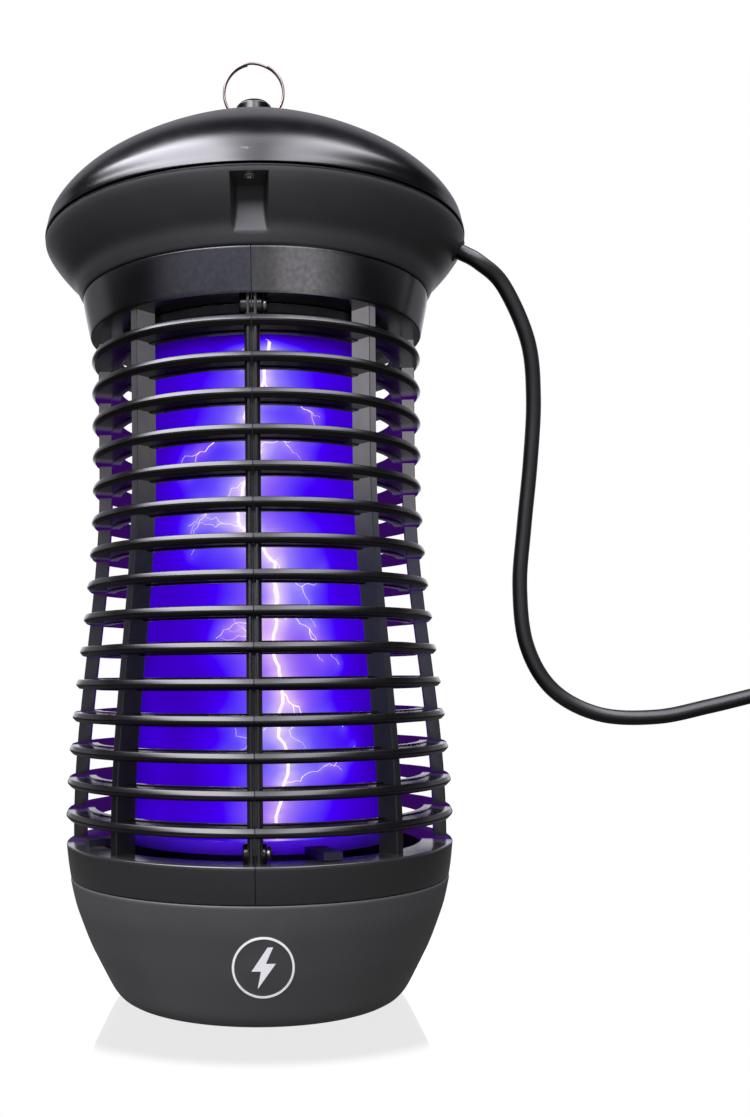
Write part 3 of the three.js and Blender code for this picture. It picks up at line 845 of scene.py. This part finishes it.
def build_cover():
    """The domed lid of the head, with a lip that drops inside the housing."""
    outside = curve([(80.1, 0.3), *COVER_OUTSIDE], 8)[1:]
    shell = lathe(rounded([
        (77.1, COVER_Z), (80.1, COVER_Z, 0.2), *[(r, COVER_Z + z) for r, z in outside], (4.4, CROWN_Z),
        *[(r, COVER_Z + z) for r, z in curve([(4.4, 41.8), *COVER_INSIDE], 4)], (75.1, COVER_Z + 1.6),
        (75.1, COVER_Z - 1.1, 0.2), (77.1, COVER_Z - 1.1, 0.2),
    ]))
    cover = solid("top_cover_moulding", shell)
    angles = CHANNEL_ANGLES.values()
    join(cover, [upright(2.9, COVER_SCREW_R, angle, COVER_Z, 292, 20) for angle in angles])
    cut(cover, [upright(PILOT_R, COVER_SCREW_R, angle, 280, 291.6, 16) for angle in angles], cord_exit(4))
    dress(cover, GLOSS_BLACK, "gloss_black", "top_cover")


def build_cover_seal():
    ring = solid("cover_seal_ring", hoop(78.4, 79.4, COVER_Z - 1.1, COVER_Z - 0.3, 0.3))
    cut(ring, cord_exit(4))
    dress(ring, RUBBER, "black_rubber", "cover_seal")


# ---- screws ----


def build_screw(node, head_top, tip, material, head_r=2.6, dome_height=1.1):
    """A domed screw with a cross recess."""
    shank_r = 1.5
    head_top, tip = Vector(head_top), Vector(tip)
    length = (tip - head_top).length
    dome = [
        (dome_height * (1 - math.cos(math.radians(a))), head_r * math.sin(math.radians(a)))
        for a in range(0, 91, 15)
    ]
    seat = dome_height + 0.5
    outline = [*dome, (seat, head_r * 0.96), (seat, shank_r), (length - 1.2, shank_r), (length, 0)]
    piece = solid(f"{node}_turned", spindle(head_top, tip, outline, 40))
    axis = (tip - head_top).normalized()
    side = axis.orthogonal().normalized()
    for arm in (side, axis.cross(side)):
        across = axis.cross(arm)
        reach, half, deep = head_r * 0.62, 0.32, 0.8
        corners = rectangle(-reach, reach, -half, half)
        slot = loft([
            [head_top + axis * depth + arm * u * taper + across * v for u, v in corners]
            for depth, taper in ((-0.5, 1.0), (deep, 0.45))
        ])
        cut(piece, [slot])
    dress(piece, material, "nickel", node)


def build_screws():
    for place, angle in CHANNEL_ANGLES.items():
        top = polar(COVER_SCREW_R, angle, CHANNEL_CEILING_Z - 0.9)
        tip = polar(COVER_SCREW_R, angle, 291.2)
        build_screw(f"cover_screw_{place}", top, tip, NICKEL, head_r=2.1, dome_height=0.4)
    for place, (y, z) in CAGE_SCREWS.items():
        build_screw(f"cage_screw_{place}", (5.7, y, z), (-3.3, y, z), DARK_NICKEL)


# ---- hanging ----


def build_post():
    """The eye post on the crown: a round stem with a seat, rounded shoulders and a cross hole."""
    top = high("hanger_post").z
    outline = rounded([
        (0, 317), (4, 317, 0.4), (4, CROWN_Z + 0.3), (8.5, CROWN_Z + 0.3, 0.3), (8.5, CROWN_Z + 1.7, 0.5),
        (POST_R + 0.2, CROWN_Z + 2.2, 0.6), (POST_R, top - 1.3, 0.7), (POST_R - 1.3, top, 0.6), (0, top),
    ], 5)
    post = solid("hanger_post_turned", lathe(outline, 72))
    eye = spindle(
        (-10, 0, EYE_Z), (10, 0, EYE_Z),
        [(0, 0), (0, 5.2), (3.0, 4.1), (3.8, EYE_R), (16.2, EYE_R), (17, 4.1), (20, 5.2), (20, 0)], 40,
    )
    cut(post, [eye])
    dress(post, GLOSS_BLACK, "gloss_black", "hanger_post")


def build_hang_ring():
    """A split ring: two turns of round wire lying side by side, with a short crossover."""
    bottom, top = low("hang_ring"), high("hang_ring")
    wire = 0.5
    radius = (top.x - bottom.x) / 2 - wire - 0.02
    middle_z = (top.z + bottom.z) / 2
    start, crossover, turns = 62, 40, 680
    path = []
    for k in range(171):
        swept = turns * k / 170
        share = min(1, max(0, (swept - (360 - crossover)) / crossover))
        layer = wire * (2 * share * share * (3 - 2 * share) - 1)
        angle = math.radians(start - swept)
        path.append((radius * math.cos(angle), layer, middle_z + radius * math.sin(angle)))
    ring = solid("hang_ring_coil", tube(path, wire, 14))
    dress(ring, DARK_NICKEL, "nickel", "hang_ring", body="hang_ring")


# ---- mains lead ----

CORD_PATH = [
    (45.6, -6, 285.2), (54, -7.5, 288.6), cord_point(-10), cord_point(0), cord_point(9), (94.2, -9, 268.3),
    (103.6, -6.5, 248), (106.2, -3.5, 227), (105.2, -1.5, 203), (102.8, -0.5, 178), (101.1, 0, 155),
    (103.6, 0, 132.5), (113.4, 0, 115.4), (131, 0, 105.8), (153, 0, 104.6), (173.5, 0, 108.6),
    (196, 0, 113.8), (205, 0, 114),
]


def build_cord():
    cord = solid("power_cord_lead", tube(curve(CORD_PATH, 10), CORD_R, 28))
    dress(cord, CORD_VINYL, "black_rubber", "power_cord")


def build_strain_relief():
    """The plain grommet where the cord leaves, flush with the housing."""
    outline = [(0, CORD_R + 0.3), (0, RELIEF_R), (5.0, RELIEF_R), (5.6, 3.7), (5.6, CORD_R + 0.3)]
    start, end = cord_point(-5.2), cord_point(0)
    grommet = solid("strain_relief_grommet", spindle(start, end, outline, 56))
    dress(grommet, RUBBER, "black_rubber", "strain_relief")


def plug_section(x, half_width, half_height, corner):
    outline = rounded(rectangle(-half_width, half_width, -half_height, half_height, corner), 8)
    return [(x, y, PLUG_Z + z) for y, z in outline]


def build_plug():
    """The moulded plug: a ribbed tail that swells into a rounded body with a flat face."""
    stages = [
        (0, 4.4, 4.4, 4.2), (0.8, 5.2, 5.2, 5.0), (4, 6.0, 6.6, 5.4), (8, 7.4, 9.2, 5.6),
        (12, 8.2, 11.2, 5.0), (16, 8.5, 12, 4.0), (24.8, 8.5, 12, 3.2), (25.7, 8.2, 11.7, 2.9),
        (26, 7.6, 11.1, 2.4),
    ]  # distance from the tail, half width, half height, corner
    smooth = curve([(x, w, h) for x, w, h, _ in stages], 4)
    corners = np.interp([p[0] for p in smooth], [s[0] for s in stages], [s[3] for s in stages])
    body = solid("plug_body_moulding", loft([
        plug_section(PLUG_X + x, w, h, min(corner, w * 0.97, h * 0.97))
        for (x, w, h), corner in zip(smooth, corners)
    ]))
    grips = []
    for i in range(5):
        x = PLUG_X + 13.2 + 2.1 * i
        for side in (-1, 1):
            grips.append(bar(0.55, (x, side * 8.75, PLUG_Z - 7), (x, side * 8.75, PLUG_Z + 7), 12))
    cut(body, grips)
    hole = bar(CORD_R + 0.3, (PLUG_X - 1, 0, PLUG_Z), (PLUG_X + 10, 0, PLUG_Z))
    slots = [
        block(PLUG_FACE_X - 7.3, PLUG_FACE_X + 2, -3.45, 3.45, z - 1.05, z + 1.05)
        for z in BLADE_HEIGHTS.values()
    ]
    cut(body, [hole], slots)
    dress(body, RUBBER, "black_rubber", "plug_body")


def build_blades():
    """Two flat plug blades with rounded tips and a locking hole."""
    for name, z in BLADE_HEIGHTS.items():
        outline = rounded([
            (PLUG_FACE_X - 7, -3.15), (PLUG_FACE_X + 17, -3.15, 1.6), (PLUG_FACE_X + 17, 3.15, 1.6),
            (PLUG_FACE_X - 7, 3.15),
        ], 6)
        blade = solid(f"plug_blade_{name}_pressed", loft([
            [(x - (0.3 if x > PLUG_FACE_X + 14 else 0) * (abs(h) > 0.6), y, z + h) for x, y in outline]
            for h in (-0.75, -0.5, 0.5, 0.75)  # the tip's outer edges are bevelled
        ]))
        hole = bar(1.5, (PLUG_FACE_X + 11.5, 0, z - 3), (PLUG_FACE_X + 11.5, 0, z + 3), 24)
        cut(blade, [hole])
        dress(blade, NICKEL, "nickel", f"plug_blade_{name}")


# ---- electrodes ----


def jagged(rng, start, end, roughness, splits):
    """A crooked line between two (sideways, height) points, broken at random midpoints."""
    points = [Vector(start), Vector(end)]
    for _ in range(splits):
        finer = [points[0]]
        for a, b in zip(points, points[1:]):
            across = Vector((a.y - b.y, b.x - a.x))
            finer += [(a + b) / 2 + across * rng.uniform(-roughness, roughness), b]
        points = finer
    return points


TRUNK = [
    (6, 247), (6, 234), (-4, 212), (3, 200), (-5, 187), (-6, 174), (9, 161), (10, 149), (8, 136), (11, 118),
    (13, 95), (9, 65),
]  # the heavy discharge, as (azimuth from the front, height)


def draw_discharges():
    """Crooked lines on the unrolled drum, three heavy ones and their branches: points, width, heavy."""
    rng = random.Random(20)
    lines = []
    for middle in (0, 120, 240):
        stops = [Vector(((azimuth + middle) * MM_PER_DEGREE, z)) for azimuth, z in TRUNK]
        trunk = []
        for above, below in zip(stops, stops[1:]):
            trunk += jagged(rng, above, below, 0.12, 3)[:-1]
        trunk.append(stops[-1])
        lines.append((trunk, 1.7, True))
        way = 1
        for k in range(5, len(trunk) - 4, 6):
            way = -way
            reach = Vector((way * rng.uniform(12, 26), rng.uniform(-24, 10)))
            branch = jagged(rng, trunk[k], trunk[k] + reach, 0.22, 4)
            lines.append((branch, rng.uniform(0.6, 0.9), False))
            twig = branch[rng.randrange(5, 12)]
            reach = Vector((way * rng.uniform(4, 14), rng.uniform(-16, 8)))
            lines.append((jagged(rng, twig, twig + reach, 0.25, 3), 0.45, False))
    return lines


def on_drum(point, lift):
    """Wraps a (sideways, height) point round the drum."""
    return polar(drum_radius(point.y) + lift, point.x / MM_PER_DEGREE - 90, point.y)


def hide_light(piece):
    """Keeps the cage black in front of a glowing piece."""
    piece.visible_glossy = False
    piece.visible_diffuse = False


def build_outer_electrode(lines):
    top, bottom = DRUM_TOP, DRUM_BOTTOM
    wall = 0.8
    heights = [bottom["z"] + (top["z"] - bottom["z"]) * k / 110 for k in range(111)]
    outside = [(drum_radius(z), z) for z in heights]
    outline = [(bottom["r"] - wall, bottom["z"]), *outside, (top["r"] - wall, top["z"])]
    drum = solid("outer_electrode_drum", lathe(outline, 220))
    spots = np.array([v.co for v in drum.data.vertices]) / MM
    azimuth = np.degrees(np.arctan2(spots[:, 1], spots[:, 0])) + 90
    sideways = azimuth * MM_PER_DEGREE
    around = 360 * MM_PER_DEGREE
    # Painted light on the drum: a glow round each discharge over a faint even level, fading out behind the
    # collar.
    glow = np.zeros(len(spots))
    for points, _, heavy in lines:
        line = np.array(points)
        spread, strength = (12.0, 0.8) if heavy else (2.4, 0.22)
        offset = sideways[:, None] - line[None, :, 0]
        offset = (offset + around / 2) % around - around / 2
        distance = np.hypot(offset, spots[:, 2:3] - line[None, :, 1]).min(axis=1)
        glow += strength * np.exp(-distance / spread) * (1 - glow * 0.6)
    glow = 0.18 + 0.82 * glow
    glow *= np.interp(spots[:, 2], [GLOW_TOP_Z - 4, GLOW_TOP_Z + 2], [1, 0])
    attribute = drum.data.attributes.new("glow", "FLOAT", "POINT")
    attribute.data.foreach_set("value", np.clip(glow, 0, 1).astype(np.float32))
    hide_light(drum)
    dress(drum, DRUM, "electrode_mesh", "outer_electrode")


def build_discharges(lines):
    """The bright threads that run over the drum's surface."""
    shells = []
    for points, width, heavy in lines:
        kept = [p for p in points if DRUM_BOTTOM["z"] + 0.5 < p.y < GLOW_TOP_Z]
        if len(kept) < 3:
            continue
        path = [on_drum(p, 0.12) for p in kept]
        ends = len(path) - 1
        radii = [width / 2 * (1 if heavy else max(0.25, 1 - i / ends)) for i in range(len(path))]
        shells.append(tube(path, radii, 8, flat=0.35))
    threads = solid("discharge_threads", *shells)
    hide_light(threads)
    dress(threads, ARC, "electrode_mesh", crease=80)


# ---- tray ----

TRAY_OUTSIDE = [
    (54.6, 1.4), (57.1, 4.7), (61.1, 12.5), (64.9, 20.4), (67.9, 28.2), (70.5, 35.9), (72.2, 43.6),
    (72.3, 45),
]
TRAY_INSIDE = [
    (69.6, 42.4), (68, 35.9), (65.4, 28.2), (62.4, 20.4), (58.6, 12.5), (54.6, 5), (52, 2.6),
]
TRAY_Z = 0.8  # underside of the cup's floor, between its centre pad and feet
BADGE_Z = 24.4
BADGE_AZIMUTH = 2.0
BADGE_R = 10.5
BADGE_LINE = 0.75
BADGE_STRETCH = 1.08  # makes up for the slope of the tray's side


def tray_outside():
    return curve([(r, TRAY_Z + z) for r, z in [(52.6, 0), *TRAY_OUTSIDE]], 6)


def build_tray():
    """The twist-off cup: a neck, three screw lugs, a centre pad and four pockets for its feet."""
    rim = TRAY_Z + 45.4
    outside = tray_outside()[1:-4]
    inside = curve([(r, TRAY_Z + z) for r, z in TRAY_INSIDE], 4)
    cup = lathe(rounded([
        (0, 0), (8, 0, 0.3), (8.5, TRAY_Z), (52.6, TRAY_Z, 0.6), *outside, (72.3, rim, 0.6),
        (NECK_R, rim), (NECK_R, rim + 10.2, 0.4), (66, rim + 10.2, 0.4), (66, rim - 0.2), *inside,
        (0, TRAY_Z + 2.6),
    ]))
    tray = solid("tray_moulding", cup)
    lug_z = LEDGE_TOP_Z + 0.3
    join(tray, [thread_block(NECK_R - 0.6, NECK_R + 2.3, angle, 24, lug_z, 1.5) for angle in LEDGE_ANGLES])
    cut(tray, [upright(5.1, FOOT_CENTRE_R, angle, -1, 2) for angle in QUARTERS])
    dress(tray, CHARCOAL, "matte_charcoal", "tray", body="tray")


def build_tray_seal():
    ring = solid("tray_seal_ring", hoop(69.1, 70.7, low("tray_seal").z, high("tray_seal").z, 0.6))
    dress(ring, RUBBER, "black_rubber", "tray_seal", body="tray_seal")


def build_feet():
    outline = [(0, 0), (0, 3.6), (0.15, 4.0), (0.5, 4.3), (1.4, 4.7), (FOOT_HEIGHT, 4.7), (FOOT_HEIGHT, 0)]
    for number, angle in enumerate(QUARTERS, 1):
        ends = [polar(FOOT_CENTRE_R, angle, z) for z in (0, FOOT_HEIGHT)]
        foot = solid(f"foot_{number}_pad", spindle(*ends, outline, 48))
        dress(foot, RUBBER, "black_rubber", f"foot_{number}", body="tray")


def on_tray(u, v, lift):
    """Wraps a flat badge point (u across, v up) onto the tray's front, a little proud of it."""
    z = BADGE_Z + v * BADGE_STRETCH
    radius = radius_at(z, tray_outside())
    return polar(radius + lift, BADGE_AZIMUTH - 90 + math.degrees(u / radius), z)


def build_badge():
    """A plain generic mark: a thin circle round a lightning bolt."""
    sunk, proud = -0.1, 0.22
    corners = rectangle(BADGE_R - BADGE_LINE, BADGE_R, sunk, proud)
    steps = 96
    sections = []
    for i in range(steps + 1):
        a = 2 * math.pi * i / steps
        sections.append([on_tray(r * math.cos(a), r * math.sin(a), lift) for r, lift in corners])
    bolt = [(1.4, 7), (-3.9, -1), (-0.8, -1), (-1.9, -7.1), (4.1, 1.5), (0.8, 1.5), (3.2, 7)]
    faces = [[on_tray(u, v, lift) for u, v in bolt] for lift in (sunk, proud)]
    badge = solid("front_badge", loft(sections), loft(faces))
    dress(badge, PRINT, "matte_charcoal", body="tray")


# ---- CAD nodes that keep their own shape ----

KEPT_NODES = [
    (STEEL, ["hanger_washer", "hanger_nut", "inner_electrode", *[f"board_screw_{i}" for i in range(1, 5)]]),
    (FILM, [f"voltage_capacitor_{i}" for i in range(1, 5)]),
    (BOARD, ["circuit_board"]),
    (CERAMIC, ["terminal_block", "mains_fuse", "lamp_socket", "lamp_base"]),
    (FERRITE, ["ballast_core"]),
    (COPPER, ["ballast_coil"]),
    (SLEEVE, ["filter_capacitor"]),
    (WIRE, ["lamp_lead_right", "lamp_lead_left", "outer_electrode_lead", "inner_electrode_lead"]),
    (LAMP, ["uv_lamp"]),
    (INSULATOR, ["upper_insulator"]),
    (LIT_INSULATOR, ["lower_insulator"]),
]


def finish_kept_nodes():
    for material, names in KEPT_NODES:
        for name in names:
            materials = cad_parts[name].data.materials
            if not materials:
                materials.append(material)
            for index in range(len(materials)):
                materials[index] = material


# ---- studio ----

CAMERA_DISTANCE = 0.465
CAMERA_HEIGHT = 0.1223
CAMERA_AZIMUTH = 1.25
CAMERA_ROLL = -0.46
LENS_MM = 38.67
LENS_SHIFT = (0.1044, 0.1034)
LIGHTS = {"softboxes": 14.5, "side walls": 0.25, "front wall": 0.9, "back": 0.36, "everywhere": 0.015}


def build_camera():
    data = bpy.data.cameras.new("camera")
    data.lens = LENS_MM
    data.sensor_width = 36
    data.clip_start = 0.01
    data.shift_x, data.shift_y = LENS_SHIFT
    camera = linked("camera", data)
    azimuth = math.radians(CAMERA_AZIMUTH)
    turn = rotation(CAMERA_AZIMUTH, "Z", 4) @ rotation(90, "X", 4) @ rotation(CAMERA_ROLL, "Z", 4)
    place = (CAMERA_DISTANCE * math.sin(azimuth), -CAMERA_DISTANCE * math.cos(azimuth), CAMERA_HEIGHT)
    camera.matrix_world = Matrix.Translation(place) @ turn
    bpy.context.scene.camera = camera


def build_studio():
    """White surroundings for the camera; softboxes, placed round the camera, for everything else."""
    world = bpy.data.worlds.new("studio")
    bpy.context.scene.world = world
    world.use_nodes = True
    world.node_tree.nodes.clear()
    nodes = Nodes(world.node_tree)
    looking = nodes.given("TexCoord", "Camera")
    aim = nodes.add("VectorMath", {0: looking}, operation="NORMALIZE").outputs[0]
    right, up, away = nodes.axes(aim)
    smooth, product = nodes.smooth, nodes.product
    sideways = nodes.math("ABSOLUTE", right)
    ceiling = nodes.math("MAXIMUM", up, 0.05)
    across = nodes.math("DIVIDE", sideways, ceiling)
    lean = nodes.math("DIVIDE", right, ceiling)
    along = nodes.math("DIVIDE", away, ceiling)
    along = nodes.math("MULTIPLY_ADD", across, -0.3, along)
    softboxes = product(
        smooth(lean, -1.35, -0.85), smooth(lean, 1.0, 0.5), smooth(across, 0.05, 0.36, 0.24, 1.0),
        smooth(lean, -0.2, 0.4, 1.0, 0.6), smooth(along, -3.2, -2.0), smooth(along, 0.12, -0.1),
        LIGHTS["softboxes"],
    )
    side_walls = product(
        smooth(sideways, 0.7, 0.9), smooth(up, 0.04, 0.13), smooth(up, 0.45, 0.36), LIGHTS["side walls"]
    )
    front_wall = product(
        smooth(away, -0.35, -0.6), smooth(up, -0.12, -0.02), smooth(up, 0.2, 0.06), LIGHTS["front wall"]
    )
    back = product(smooth(away, 0.1, 0.35), smooth(along, 0.5, 0.9), LIGHTS["back"])
    horizon = product(smooth(away, 0.85, 0.92), smooth(up, 0.4, 0.34), smooth(up, -0.05, 0.02))
    light = LIGHTS["everywhere"]
    for part in (softboxes, side_walls, front_wall, back, horizon):
        light = nodes.math("ADD", part, light)
    tint = nodes.add("Background", {"Color": (0.93, 0.92, 1.0, 1), "Strength": light})
    white = nodes.add("Background", {"Color": grey(1), "Strength": 1.0})
    seen = nodes.given("LightPath", "Is Camera Ray")
    mixed = nodes.add("MixShader", {0: seen, 1: tint.outputs[0], 2: white.outputs[0]})
    nodes.add("OutputWorld", {"Surface": mixed.outputs[0]})


def build_floor():
    """A white floor with a faint mirror image close round the base, partly real and partly painted
    reflection that dims the floor there, and a darker table in reflections.
    """
    half = 4.0
    mesh = bpy.data.meshes.new("floor")
    corners = [(-half, -half, 0), (half, -half, 0), (half, half, 0), (-half, half, 0)]
    mesh.from_pydata(corners, [], [(0, 1, 2, 3)])
    floor = linked("floor", mesh)
    material, nodes, feed = surface("floor", Roughness=0.05, IOR=1.5)
    seen = nodes.given("LightPath", "Is Camera Ray")
    from_camera = nodes.axes(nodes.given("TexCoord", "Camera"))
    middle = nodes.smooth(nodes.math("ABSOLUTE", from_camera[0]), 0.1, 0.4, 1.0, 0.3)
    table = nodes.product(nodes.smooth(from_camera[2], -0.05, 0.2, 1.0, 0.14), middle)
    floor_x, floor_y, _ = nodes.place_axes()
    away = nodes.radius(floor_x, floor_y)
    # Close round the base the floor mirrors a little, and the camera sees it dimmer there: a painted
    # reflection of the dark base.
    mirror = nodes.smooth(away, 0.098, 0.09, 0.0, 0.5)
    painted_reflection = nodes.smooth(away, 0.096, 0.084, 1.0, 0.79)
    feed(
        Base_Color=grey(0),
        Specular_IOR_Level=mirror,
        Emission_Color=grey(1),
        Emission_Strength=nodes.math("MULTIPLY_ADD", seen, nodes.math("SUBTRACT", painted_reflection, table), table),
    )
    mesh.materials.append(material)


# ---- assembly ----

build_cage()
build_housing()
build_cover()
build_cover_seal()
build_screws()
build_post()
build_hang_ring()
build_cord()
build_strain_relief()
build_plug()
build_blades()
discharges = draw_discharges()
build_outer_electrode(discharges)
build_discharges(discharges)
build_tray()
build_tray_seal()
build_feet()
build_badge()
finish_kept_nodes()
build_camera()
build_studio()
build_floor()

scene = bpy.context.scene
scene.view_settings.view_transform = "Standard"
scene.view_settings.look = "None"
